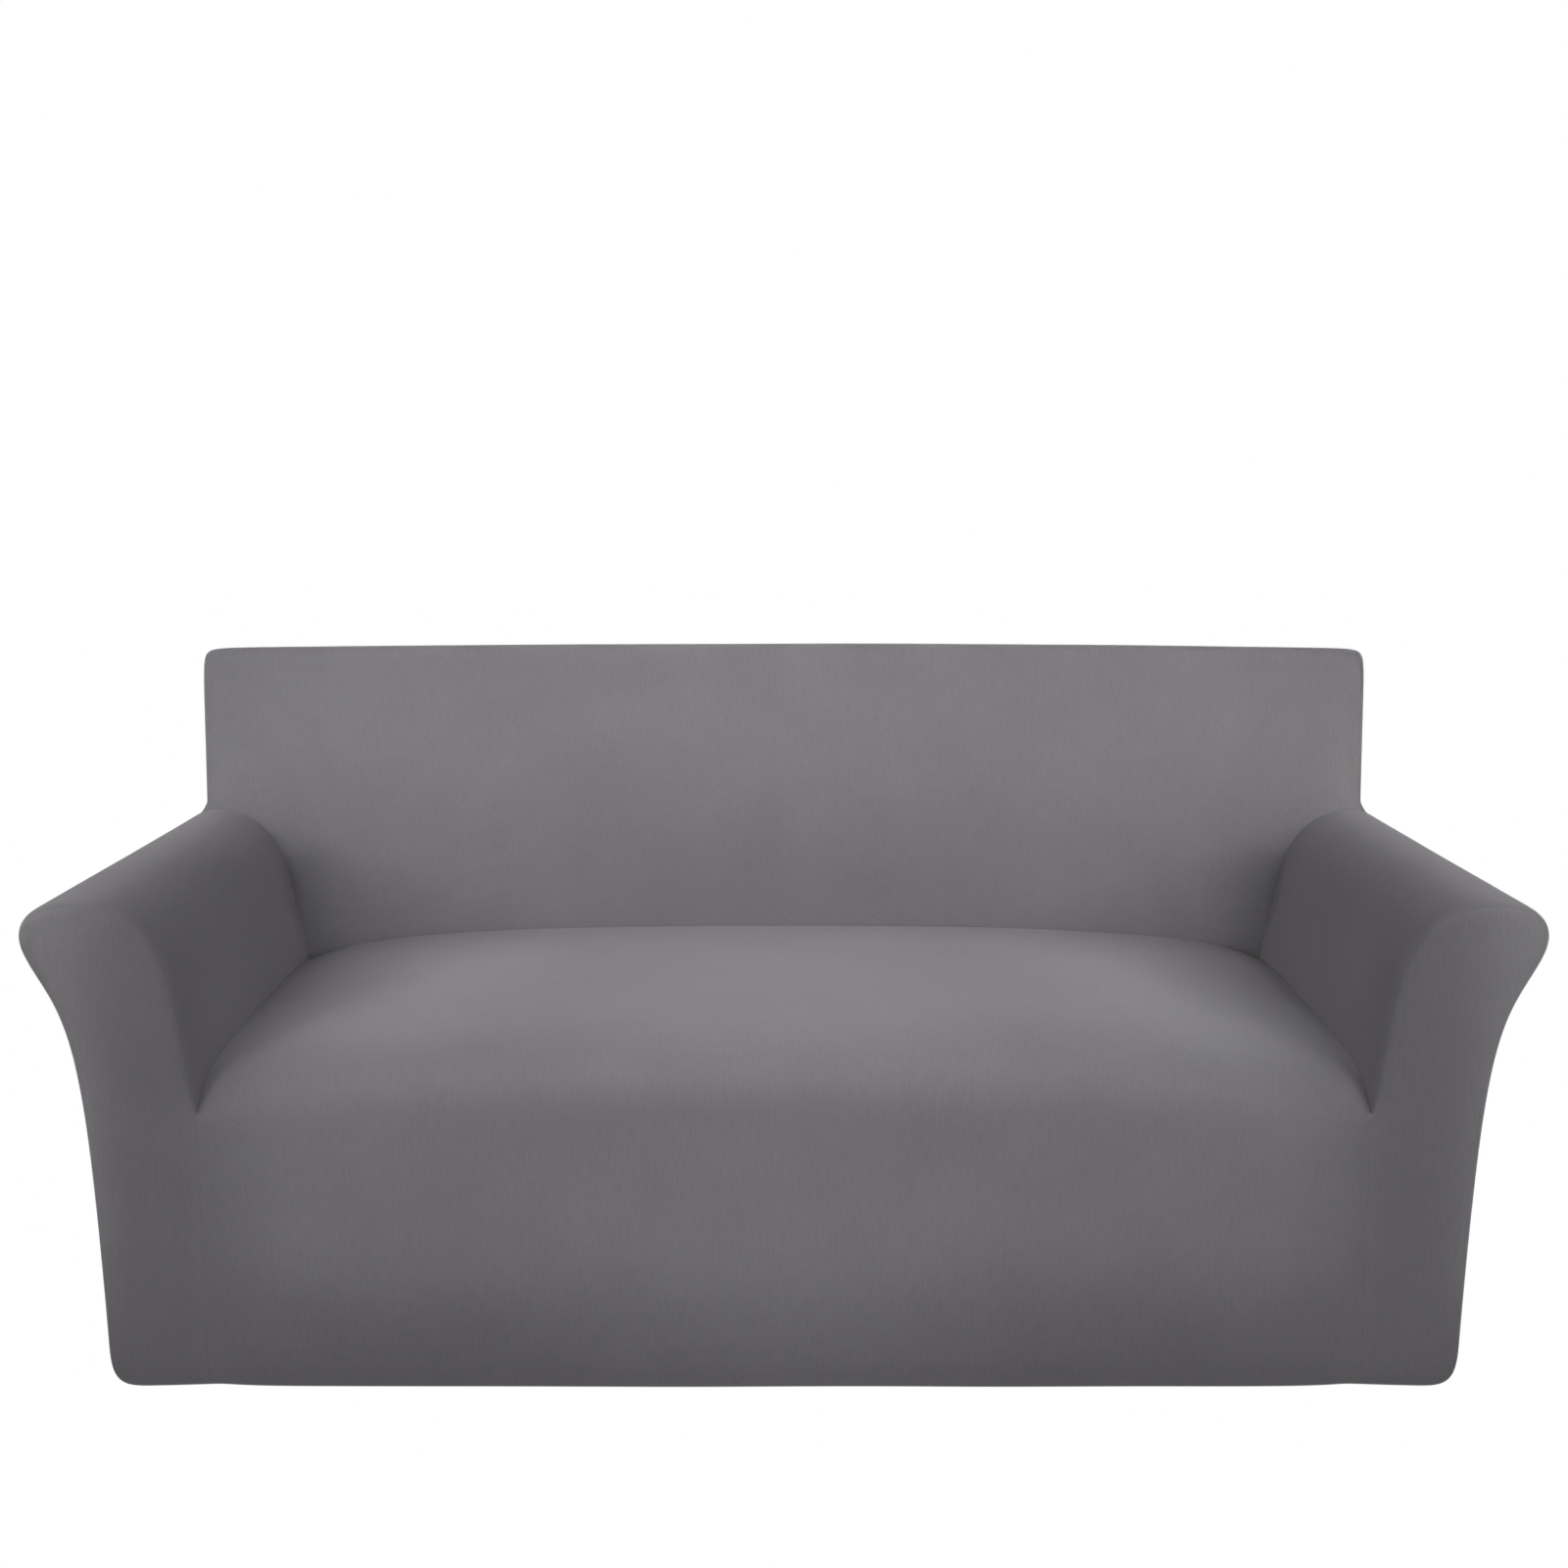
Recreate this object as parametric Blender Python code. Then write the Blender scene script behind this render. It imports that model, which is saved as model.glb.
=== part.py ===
"""A fitted stretch cover for a three-seat sofa: seven panels of knit cloth round a hollow.

Metres, +Z up, +Y to the rear. The origin is the middle of the cover's footprint at floor level.
The cover is laid out as one coarse cage, subdivided into a smooth skin, gathered under its hem,
and then parted along its seams into panels with the cloth's thickness.
"""

import math

import bmesh
import bpy
from mathutils import Vector

# Driving sizes
CLOTH = 0.002
SEAM_GAP = 0.0003
MOST_FOLD_FACTOR = 1.5
LEAST_MITRE = 0.5
DEPTH = 0.955
SKIRT_PROUD = 0.016
BACK_HALF_WIDTH = 0.981
BACK_TOP = 0.951
BACK_TOP_ARCH = 0.008
BACK_TOP_FALL = 0.020
BACK_FOOT_Y = 0.690
BACK_TOP_Y = 0.752
REAR_Y = DEPTH - SKIRT_PROUD
EDGE_ROUND = 0.022
CORNER_CUT = 0.004
ARM_FRONT_INSET = 0.4
HEM_TURN_ACROSS = 0.085
HEM_TURN_ALONG = 0.055
HEM_DEPTH = 0.034
HEM_LIFT = 0.007
HEM_SEGMENT = 0.019
HEM_ROWS = 2
GATHER_PITCH = 0.078
GATHER_HEIGHT = 0.0055
SMOOTH_LEVEL = 1
CREASE_SHARP = 1.0
VALLEY_SHARP = 0.45
SHADING_ANGLE = math.radians(50)
KNIT_GREY = (0.205, 0.198, 0.204)
KNIT_ROUGHNESS = 0.88

# The section across one arm and half the seat: each point's half width and height
SECTION = {
    "foot": (0.9175, 0.000),
    "side_low": (0.9200, 0.072),
    "side_knee": (0.9235, 0.160),
    "side_mid": (0.9290, 0.315),
    "side_high": (0.9385, 0.446),
    "flare": (0.9610, 0.551),
    "tip": (1.0225, 0.632),
    "arm_top_out": (0.9880, 0.687),
    "arm_top_in": (0.8760, 0.681),
    "arm_in_high": (0.8230, 0.627),
    "arm_in_low": (0.7980, 0.535),
    "crease": (0.7880, 0.449),
    "seat_end": (0.7400, 0.467),
    "seat_out": (0.5000, 0.487),
    "seat_in": (0.2500, 0.493),
    "middle": (0.0000, 0.494),
}
NAMES = list(SECTION)
TIP = NAMES.index("tip")
EDGE = NAMES.index("arm_top_out")
CREASE = NAMES.index("crease")

# Rows from front to rear over the arms and the seat: distance behind the arm fronts, the same for
# the seat, and how far the crease and the seat lie below the section
BODY_ROWS = {
    "front": dict(y=0.000, seat_y=-SKIRT_PROUD, crease_drop=0.064, seat_drop=0.072),
    "lip": dict(y=0.028, seat_y=0.018, crease_drop=0.034, seat_drop=0.026),
    "seat_front": dict(y=0.095, seat_y=0.095, crease_drop=0.008, seat_drop=0.010),
    "seat_mid": dict(y=0.370, seat_y=0.370, crease_drop=0.000, seat_drop=0.000, narrow=0.15),
    "seat_rear": dict(y=0.610, seat_y=0.610, crease_drop=0.003, seat_drop=0.002, narrow=0.55),
    "foot_of_back": dict(
        y=0.700, seat_y=BACK_FOOT_Y, crease_drop=0.016, seat_drop=0.006, narrow=1.0
    ),
}

# How much further out the arm's inner side lies at the foot of the back than at its front
ARM_NARROWS = {"arm_top_in": 0.029, "arm_in_high": 0.022, "arm_in_low": 0.016, "crease": 0.012}

# The row on the inside back a little above the arm and the seat: half widths and heights
BACK_LOW = {
    "arm_top_out": (0.9740, 0.698),
    "arm_top_in": (0.8900, 0.720),
    "arm_in_high": (0.8060, 0.670),
    "arm_in_low": (0.7620, 0.588),
    "crease": (0.7360, 0.522),
    "seat_end": (0.6600, 0.532),
    "seat_out": (0.4600, 0.548),
    "seat_in": (0.2350, 0.553),
    "middle": (0.0000, 0.554),
}

# Rows up the inside back: place along the lower side, then the point on the back's end face as half
# width, place and height, then the height up the inside back
BACK_ROWS = {
    "back_low": dict(side_y=0.724, end=(0.9720, 0.727, 0.688)),
    "back_high": dict(side_y=0.765, end=(BACK_HALF_WIDTH, 0.774, 0.850), height=0.924),
    "top_front": dict(side_y=0.795, end=(BACK_HALF_WIDTH, 0.778, 0.914), height=BACK_TOP),
}

# Rows over the top to the rear: the same two, then the place on the top
TOP_FAR_Y = REAR_Y - EDGE_ROUND
TOP_ROWS = {
    "top_near": dict(side_y=0.835, end=(BACK_HALF_WIDTH, 0.812, 0.914), y=BACK_TOP_Y + EDGE_ROUND),
    "top_far": dict(side_y=TOP_FAR_Y, end=(BACK_HALF_WIDTH, TOP_FAR_Y, 0.901), y=TOP_FAR_Y),
    "rear": dict(side_y=REAR_Y, end=(BACK_HALF_WIDTH, REAR_Y, 0.899), y=REAR_Y),
}

# Half widths of the lower side behind the arm, and of the columns on the inside back
REAR_SIDE = (0.9175, 0.920, 0.9235, 0.929, 0.942, 0.960)
BACK_COLUMNS = (BACK_HALF_WIDTH, 0.948, 0.875, 0.790, 0.720, 0.640, 0.450, 0.230, 0.0)

# Rows of the front's lower part, each with its place on the skirt, in the valley beside it and on
# the arm's front
LOW_ROWS = {
    "foot": dict(skirt=-0.009, valley=-0.005, arm=-0.007),
    "side_low": dict(skirt=-0.010, valley=0.001, arm=-0.005),
    "side_knee": dict(skirt=-0.013, valley=0.007, arm=0.000),
    "side_mid": dict(skirt=-SKIRT_PROUD, valley=0.009, arm=0.000),
}

# The gathers' unevenness, as waves round the cover, how far each wave goes and where it starts
GATHER_DRIFT = ((7, 0.9, 0.4), (17, 0.6, 0.0))
GATHER_SWELL = (11, 0.25, 1.3)

PANELS = (
    "seat_front",
    "inside_back",
    "outside_back",
    "arm_left",
    "arm_right",
    "arm_front_left",
    "arm_front_right",
)


def clear_scene():
    for old in list(bpy.data.objects):
        bpy.data.objects.remove(old, do_unlink=True)


def at(half_width, y, height):
    """A point of the left half, with y counted from the arm fronts."""
    return Vector((-half_width, y + SKIRT_PROUD - DEPTH / 2, height))


def mirrored(point):
    return Vector((-point.x, point.y, point.z))


def back_face(half_width, height):
    """A point on the leaning inside back."""
    share = (height - SECTION["seat_in"][1]) / (BACK_TOP - SECTION["seat_in"][1])
    return at(half_width, BACK_FOOT_Y + share * (BACK_TOP_Y - BACK_FOOT_Y), height)


def body_point(row, column):
    """A cage point over the arms and the seat."""
    sizes = BODY_ROWS[row]
    half_width, height = SECTION[NAMES[column]]
    half_width += sizes.get("narrow", 0.0) * ARM_NARROWS.get(NAMES[column], 0.0)
    if column == CREASE:
        height -= sizes["crease_drop"]
    if column > CREASE:
        height -= sizes["seat_drop"]
    if row == "foot_of_back" and column >= EDGE:
        return back_face(half_width, height)
    if row == "front" and NAMES[column] in LOW_ROWS:
        return at(half_width, LOW_ROWS[NAMES[column]]["arm"], height)
    return at(half_width, sizes["seat_y"] if column > CREASE else sizes["y"], height)


def back_point(row, column):
    """A cage point of the back: its lower side, its end face, its inside or its top."""
    sizes = BACK_ROWS.get(row) or TOP_ROWS[row]
    if column < TIP:
        return at(REAR_SIDE[column], sizes["side_y"], SECTION[NAMES[column]][1])
    if column == TIP:
        return at(*sizes["end"])
    half_width = BACK_COLUMNS[column - EDGE]
    arch = BACK_TOP_ARCH * (1 - (half_width / BACK_HALF_WIDTH) ** 2)
    if column == EDGE and row in ("top_front", *TOP_ROWS):
        half_width -= CORNER_CUT
        arch -= CORNER_CUT
    if row in TOP_ROWS:
        fall = BACK_TOP_FALL * (sizes["y"] - BACK_TOP_Y) / (REAR_Y - BACK_TOP_Y)
        return at(half_width, sizes["y"], BACK_TOP + arch - fall)
    if row == "back_low":
        return back_face(*BACK_LOW[NAMES[column]])
    lift = arch if row == "top_front" else 0.0
    return back_face(half_width, sizes["height"]) + Vector((0.0, 0.0, lift))


def over_grid():
    """Rows of cage points from front to rear, each from the foot of the left side to the middle."""
    body = [[body_point(row, column) for column in range(len(NAMES))] for row in BODY_ROWS]
    back_rows = list(BACK_ROWS) + list(TOP_ROWS)
    back = [[back_point(row, column) for column in range(len(NAMES))] for row in back_rows]
    return body + back


def valley_point(name):
    """A point of the valley between the arm's front and the skirt."""
    return at(SECTION["crease"][0], LOW_ROWS[name]["valley"], SECTION[name][1])


def arm_front_outline():
    """The outline of the arm's front up its outer side, and the points across from them."""
    outer = [body_point("front", column) for column in range(TIP + 1)]
    valley = [valley_point(name) for name in LOW_ROWS]
    inner_columns = (CREASE, CREASE - 1, CREASE - 2)
    inner = valley + [body_point("front", column) for column in inner_columns]
    top = [body_point("front", EDGE), body_point("front", EDGE + 1)]
    return outer, inner, top


def arm_front_grids():
    """The rim round the arm's front and the field inside it."""
    outer, inner, top = arm_front_outline()
    spine = [(left + right) / 2 for left, right in zip(outer, inner)]
    field_outer = [point.lerp(middle, ARM_FRONT_INSET) for point, middle in zip(outer, spine)]
    field_inner = [point.lerp(middle, ARM_FRONT_INSET) for point, middle in zip(inner, spine)]
    field_top = [point.lerp(spine[-1], ARM_FRONT_INSET) for point in top]
    outline = outer + top + inner[::-1]
    inset = field_outer + field_top + field_inner[::-1]
    rim = [outline, inset]
    field = [field_outer, field_inner]
    crown = [[field_outer[-1], field_top[0]], [field_inner[-1], field_top[1]]]
    return [rim, field, crown]


def skirt_grid():
    """The front skirt from its foot up to the seat's front edge, from the valley to the middle."""
    rows = []
    for name, sizes in LOW_ROWS.items():
        height = SECTION[name][1]
        across = [at(SECTION[n][0], sizes["skirt"], height) for n in NAMES[CREASE + 1 :]]
        rows.append([valley_point(name)] + across)
    rows.append([body_point("front", column) for column in range(CREASE, len(NAMES))])
    return rows


def rear_grids():
    """The rim round the rear and the field inside it, from the left side to the middle."""
    outline = [back_point("rear", column) for column in range(len(NAMES))]
    inset = []
    for column, point in enumerate(outline):
        aside = EDGE_ROUND if column <= EDGE else 0.0
        below = EDGE_ROUND if column >= EDGE else 0.0
        inset.append(point + Vector((aside, 0.0, -below)))
    field = [inset[EDGE:]]
    for column in range(TIP, -1, -1):
        left = inset[column]
        share = [abs(point.x / inset[EDGE].x) for point in inset[EDGE:]]
        field.append([Vector((left.x * part, left.y, left.z)) for part in share])
    return [[outline, inset], field]


def foot_lines():
    """The foot of the left half: each panel's stretch of it, from the front's middle to the rear's."""
    rim, _, _ = arm_front_grids()
    outline, inset = rim
    rear_rim, rear_field = rear_grids()
    return {
        "seat_front": skirt_grid()[0][::-1],
        "arm_front": [outline[-1], inset[-1], inset[0], outline[0]],
        "arm": [row[0] for row in over_grid()],
        "outside_back": [rear_rim[0][0]] + rear_field[-1],
    }


def turned_under(loop):
    """The foot drawn in under the cover, the last row of the cage."""
    half_width = SECTION["foot"][0]
    half_depth = DEPTH / 2
    across = (half_width - HEM_TURN_ACROSS) / half_width
    along = (half_depth - HEM_TURN_ALONG) / half_depth
    return [Vector((p.x * across, p.y * along, HEM_LIFT)) for p in loop]


class Cage:
    """Quads of the cage, each marked with its panel, and the fold lines that stay sharp."""

    def __init__(self):
        self.bm = bmesh.new()
        self.folds = {}

    def add(self, rows, panel):
        """A grid of quads and its mirror image. A panel with a left and a right gets one each."""
        for side, end in ((1, "_left"), (-1, "_right")):
            name = panel if panel in PANELS else panel + end
            points = rows if side == 1 else [[mirrored(p) for p in row] for row in rows]
            grid = [[self.bm.verts.new(p) for p in row] for row in points]
            for near, far in zip(grid, grid[1:]):
                for i in range(len(near) - 1):
                    face = self.bm.faces.new((near[i], near[i + 1], far[i + 1], far[i]))
                    face.material_index = PANELS.index(name)

    def fold(self, line, weight):
        for points in (line, [mirrored(p) for p in line]):
            for first, second in zip(points, points[1:]):
                self.folds[frozenset((key(first), key(second)))] = weight

    def mesh(self):
        bmesh.ops.remove_doubles(self.bm, verts=self.bm.verts, dist=1e-5)
        bmesh.ops.recalc_face_normals(self.bm, faces=self.bm.faces)
        sharpness = self.bm.edges.layers.float.new("crease_edge")
        for edge in self.bm.edges:
            ends = frozenset(key(v.co) for v in edge.verts)
            edge[sharpness] = self.folds.get(ends, 0.0)
        mesh = bpy.data.meshes.new("cage")
        self.bm.to_mesh(mesh)
        self.bm.free()
        return mesh


def key(point):
    return tuple(round(value, 5) + 0.0 for value in point)


def make_cage():
    cage = Cage()
    over = over_grid()
    body = over[: len(BODY_ROWS)]
    back = over[len(BODY_ROWS) - 1 :]
    cage.add([row[: CREASE + 1] for row in body], "arm")
    cage.add([row[CREASE:] for row in body], "seat_front")
    cage.add([row[: EDGE + 1] for row in back], "arm")
    cage.add([row[EDGE:] for row in back], "inside_back")
    for grid in arm_front_grids():
        cage.add(grid, "arm_front")
    cage.add(skirt_grid(), "seat_front")
    for grid in rear_grids():
        cage.add(grid, "outside_back")
    for panel, line in foot_lines().items():
        cage.add([line, turned_under(line)], panel)
    cage.fold([row[CREASE] for row in body], CREASE_SHARP)
    cage.fold(body[-1][TIP - 1 :], CREASE_SHARP)
    cage.fold([row[0] for row in skirt_grid()], VALLEY_SHARP)
    return cage.mesh()


def smoothed(mesh):
    """The cage subdivided onto its smooth limit surface."""
    form = bpy.data.objects.new("form", mesh)
    bpy.context.scene.collection.objects.link(form)
    smooth = form.modifiers.new("Subdivision", "SUBSURF")
    smooth.levels = SMOOTH_LEVEL
    smooth.render_levels = SMOOTH_LEVEL
    bpy.context.view_layer.update()
    evaluated = form.evaluated_get(bpy.context.evaluated_depsgraph_get())
    skin = bpy.data.meshes.new_from_object(evaluated)
    bpy.data.objects.remove(form, do_unlink=True)
    bm = bmesh.new()
    bm.from_mesh(skin)
    bpy.data.meshes.remove(skin)
    return bm


def hem_edge(bm):
    """The free edge's points in order round the cover, found from any one of them."""
    free = [edge for edge in bm.edges if edge.is_boundary]
    start = min(free, key=lambda edge: (round(edge.verts[0].co.y, 4), edge.verts[0].co.x))
    around = [start.verts[0]]
    edge = start
    while True:
        ahead = edge.other_vert(around[-1])
        if ahead == around[0]:
            return around
        around.append(ahead)
        edge = next(e for e in ahead.link_edges if e.is_boundary and e != edge)


def gather(turn, gathers):
    """The height of the gathers at an angle round the cover, as a share of the highest."""
    phase = gathers * turn
    for waves, drift, start in GATHER_DRIFT:
        phase += drift * math.sin(waves * turn + start)
    waves, share, start = GATHER_SWELL
    swell = 1 - share + share * math.sin(waves * turn + start)
    return swell * math.sin(phase)


def inward(place):
    """The step from the hem's fold to the elastic, across the cover and along it."""
    return Vector((-place.x / SECTION["foot"][0], -2 * place.y / DEPTH, 0.0)) * HEM_DEPTH


def split_free_side(bm, face, free):
    """Parts a face with many points on its free side into triangles that all reach its far side."""
    verts = list(face.verts)
    start = next(i for i, vert in enumerate(verts) if not {vert, verts[i - 1]} & free)
    near, far, *points = verts[start - 1 :] + verts[: start - 1]
    half = len(points) // 2
    corners = [(far, points[i], points[i + 1]) for i in range(half)]
    corners.append((near, far, points[half]))
    corners += [(near, points[i], points[i + 1]) for i in range(half, len(points) - 1)]
    for triangle in corners:
        bm.faces.new(triangle).material_index = face.material_index
    bm.faces.remove(face)


def gather_hem(bm):
    """Splits the free edge finely and extends it inwards as an unevenly gathered elastic hem."""
    for edge in [e for e in bm.edges if e.is_boundary]:
        cuts = round(edge.calc_length() / HEM_SEGMENT) - 1
        if cuts > 0:
            bmesh.ops.subdivide_edges(bm, edges=[edge], cuts=cuts)
    outer = hem_edge(bm)
    for face in [face for face in bm.faces if len(face.verts) > 4]:
        split_free_side(bm, face, set(outer))
    places = [vert.co.copy() for vert in outer]
    steps = [(place - places[i - 1]).length for i, place in enumerate(places)]
    length = sum(steps)
    gathers = round(length / GATHER_PITCH)
    for row in range(1, HEM_ROWS + 1):
        share = row / HEM_ROWS
        travelled = 0.0
        inner = []
        for place, step in zip(places, steps):
            travelled += step
            lift = GATHER_HEIGHT * share * gather(2 * math.pi * travelled / length, gathers)
            inner.append(bm.verts.new(place + inward(place) * share + Vector((0.0, 0.0, lift))))
        for i in range(len(outer)):
            beside = bm.edges.get((outer[i - 1], outer[i])).link_faces[0]
            face = bm.faces.new((outer[i - 1], outer[i], inner[i], inner[i - 1]))
            face.material_index = beside.material_index
        outer = inner
    bmesh.ops.recalc_face_normals(bm, faces=bm.faces)
    bm.normal_update()


def settle(bm):
    """Stands the skin with its lowest point on the floor and its footprint's middle at the origin."""
    low = [min(vert.co[axis] for vert in bm.verts) for axis in range(3)]
    high = [max(vert.co[axis] for vert in bm.verts) for axis in range(3)]
    offset = Vector((-(low[0] + high[0]) / 2, -(low[1] + high[1]) / 2, -low[2]))
    bmesh.ops.translate(bm, verts=bm.verts, vec=offset)


def seam_pull(vert, faces):
    """The small step that a point on a seam takes into its own panel, longer in a sharp fold."""
    steps = []
    for edge in vert.link_edges:
        inside = [face for face in edge.link_faces if face in faces]
        if len(inside) == 1 and not edge.is_boundary:
            along = (edge.verts[1].co - edge.verts[0].co).normalized()
            towards = inside[0].calc_center_median() - edge.verts[0].co
            steps.append((towards - along * towards.dot(along)).normalized())
    if not steps:
        return Vector()
    step = sum(steps, Vector()) / len(steps)
    mitre = max(step.length, LEAST_MITRE)
    return step.normalized() * (SEAM_GAP / 2) * shell_factor(vert) / mitre


def shell_factor(vert):
    """How much further a fold's point moves to keep the cloth's thickness on both its sides."""
    return min(vert.calc_shell_factor(), MOST_FOLD_FACTOR)


def make_panel(skin, index):
    """One panel: its part of the skin as the right side, the wrong side behind it, and the edges."""
    name = PANELS[index]
    faces = {face for face in skin.faces if face.material_index == index}
    verts = sorted({vert for face in faces for vert in face.verts}, key=lambda vert: vert.index)
    bm = bmesh.new()
    right_side = {}
    wrong_side = {}
    for vert in verts:
        place = vert.co + seam_pull(vert, faces)
        depth = CLOTH * shell_factor(vert)
        right_side[vert] = bm.verts.new(place)
        wrong_side[vert] = bm.verts.new(place - vert.normal * depth)
    for face in sorted(faces, key=lambda face: face.index):
        bm.faces.new([right_side[vert] for vert in face.verts])
        bm.faces.new([wrong_side[vert] for vert in reversed(face.verts)])
        for loop in face.loops:
            if len([other for other in loop.edge.link_faces if other in faces]) == 1:
                first, second = loop.vert, loop.link_loop_next.vert
                corners = [right_side[second], right_side[first], wrong_side[first], wrong_side[second]]
                # Both panels at a seam split their edges along the same diagonal, so they can't cross
                turn = 0 if first.index < second.index else 1
                corners = corners[turn:] + corners[:turn]
                bm.faces.new(corners[:3])
                bm.faces.new((corners[2], corners[3], corners[0]))
    mesh = bpy.data.meshes.new(name)
    bm.to_mesh(mesh)
    bm.free()
    mesh.shade_smooth()
    mesh.set_sharp_from_angle(angle=SHADING_ANGLE)
    mesh.materials.append(knit_material(name))
    panel = bpy.data.objects.new(name, mesh)
    bpy.context.scene.collection.objects.link(panel)
    return panel


def knit_material(name):
    material = bpy.data.materials.new(name + "_knit")
    material.use_nodes = True
    shader = material.node_tree.nodes["Principled BSDF"]
    shader.inputs["Base Color"].default_value = (*KNIT_GREY, 1.0)
    shader.inputs["Roughness"].default_value = KNIT_ROUGHNESS
    shader.inputs["Metallic"].default_value = 0.0
    return material


clear_scene()
skin = smoothed(make_cage())
gather_hem(skin)
settle(skin)
bmesh.ops.triangulate(skin, faces=skin.faces[:])
skin.verts.index_update()
skin.faces.index_update()
for number in range(len(PANELS)):
    make_panel(skin, number)
skin.free()
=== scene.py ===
"""A fitted stretch cover for a three-seat sofa, dressed: knit panels, seams and a gathered hem.

Metres, +Z up, +Y to the rear. Left and right are as seen from the front.
"""

import math

import bmesh
import bpy
import numpy as np
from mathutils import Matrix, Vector, noise
from mathutils.kdtree import KDTree


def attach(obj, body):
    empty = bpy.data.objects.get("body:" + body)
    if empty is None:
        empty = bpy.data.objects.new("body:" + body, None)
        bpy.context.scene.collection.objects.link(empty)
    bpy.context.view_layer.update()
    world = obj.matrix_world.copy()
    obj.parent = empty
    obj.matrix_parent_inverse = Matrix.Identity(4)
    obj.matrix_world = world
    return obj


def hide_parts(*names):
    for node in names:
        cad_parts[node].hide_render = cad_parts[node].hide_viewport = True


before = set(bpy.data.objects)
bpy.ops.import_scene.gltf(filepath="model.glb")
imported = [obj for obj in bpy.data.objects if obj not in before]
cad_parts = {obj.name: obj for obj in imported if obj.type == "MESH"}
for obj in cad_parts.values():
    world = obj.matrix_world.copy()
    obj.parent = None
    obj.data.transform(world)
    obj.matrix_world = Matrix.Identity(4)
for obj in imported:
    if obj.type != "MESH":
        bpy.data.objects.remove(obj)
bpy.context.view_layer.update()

# The smooth form under the cloth. The real cover is knit fabric pulled tight over a sofa, so its
# panels share one smooth skin. It is laid out here as a coarse cage of quads, each marked with the
# panel that it belongs to, and then subdivided.

# The whole form's depth, how far its skirt stands proud of the arms' fronts, where its rear lies,
# and how many times its cage is subdivided
FORM_DEPTH = 0.955
SKIRT_PROUD = 0.016
REAR_Y = FORM_DEPTH - SKIRT_PROUD
FORM_LEVEL = 4

# The back, which leans. Its top arches towards the middle and falls towards the rear
BACK_HALF_WIDTH = 0.981
BACK_TOP = 0.951
BACK_TOP_ARCH = 0.008
BACK_TOP_FALL = 0.020
BACK_FOOT_Y = 0.690
BACK_TOP_Y = 0.752

# How rounded the rear's edges are, how far the back's top corners are cut, and how far in the
# field of the arm's front lies, as a share of the way to its middle line
EDGE_ROUND = 0.022
CORNER_CUT = 0.004
ARM_FRONT_INSET = 0.4

# How far the foot is drawn in under the sofa, across and along it, and how high its edge then lies
TURN_ACROSS = 0.085
TURN_ALONG = 0.055
TURN_LIFT = 0.007

# How sharp the lines are where the seat meets the arms and both meet the back, the line at the
# back's lower outer corner, and the one in the valley beside the skirt
CREASE_SHARP = 1.0
CORNER_SHARP = 0.6
VALLEY_SHARP = 0.25

# The section across one arm and half the seat: each point's half width and height
SECTION = {
    "foot": (0.9175, 0.000),
    "side_low": (0.9200, 0.072),
    "side_knee": (0.9235, 0.160),
    "side_mid": (0.9290, 0.315),
    "side_high": (0.9385, 0.446),
    "flare": (0.9610, 0.551),
    "tip": (1.0225, 0.632),
    "arm_top_out": (0.9880, 0.687),
    "arm_top_in": (0.8760, 0.681),
    "arm_in_high": (0.8230, 0.627),
    "arm_in_low": (0.7980, 0.535),
    "crease": (0.7880, 0.449),
    "seat_end": (0.7400, 0.467),
    "seat_out": (0.5000, 0.487),
    "seat_in": (0.2500, 0.493),
    "middle": (0.0000, 0.494),
}

# The cage's columns: the section's points in order, and the ones where its parts change
NAMES = list(SECTION)
TIP = NAMES.index("tip")
EDGE = NAMES.index("arm_top_out")
CREASE = NAMES.index("crease")

# Rows from front to rear over the arms and the seat: distance behind the arm fronts, the same for
# the seat, how far the crease and the seat lie below the section, and the shares of ARM_NARROWS
# and INNER_TURN that the row takes
BODY_ROWS = {
    "front": dict(y=0.000, seat_y=-SKIRT_PROUD, crease_drop=0.064, seat_drop=0.072, turn=1.0),
    "lip": dict(y=0.034, seat_y=0.018, crease_drop=0.034, seat_drop=0.026, turn=1.4),
    "seat_front": dict(y=0.095, seat_y=0.095, crease_drop=0.008, seat_drop=0.010),
    "seat_mid": dict(y=0.370, seat_y=0.370, crease_drop=0.000, seat_drop=0.000, narrow=0.15),
    "seat_rear": dict(y=0.610, seat_y=0.610, crease_drop=0.003, seat_drop=0.002, narrow=0.55),
    "foot_of_back": dict(
        y=0.700, seat_y=BACK_FOOT_Y, crease_drop=0.016, seat_drop=0.006, narrow=1.0
    ),
}

# How much further out the arm's inner side lies at the foot of the back than at the arm's front
ARM_NARROWS = {"arm_top_in": 0.029, "arm_in_high": 0.022, "arm_in_low": 0.016, "crease": 0.012}

# How far back the inner side of the arm's front turns
INNER_TURN = {
    "arm_top_out": 0.003,
    "arm_top_in": 0.008,
    "arm_in_high": 0.013,
    "arm_in_low": 0.016,
    "crease": 0.017,
}

# The row on the inside back a little above the arm and the seat: half widths and heights
BACK_LOW = {
    "arm_top_out": (0.9745, 0.682),
    "arm_top_in": (0.8900, 0.720),
    "arm_in_high": (0.8060, 0.670),
    "arm_in_low": (0.7620, 0.588),
    "crease": (0.7360, 0.522),
    "seat_end": (0.6600, 0.532),
    "seat_out": (0.4600, 0.548),
    "seat_in": (0.2350, 0.553),
    "middle": (0.0000, 0.554),
}

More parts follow.
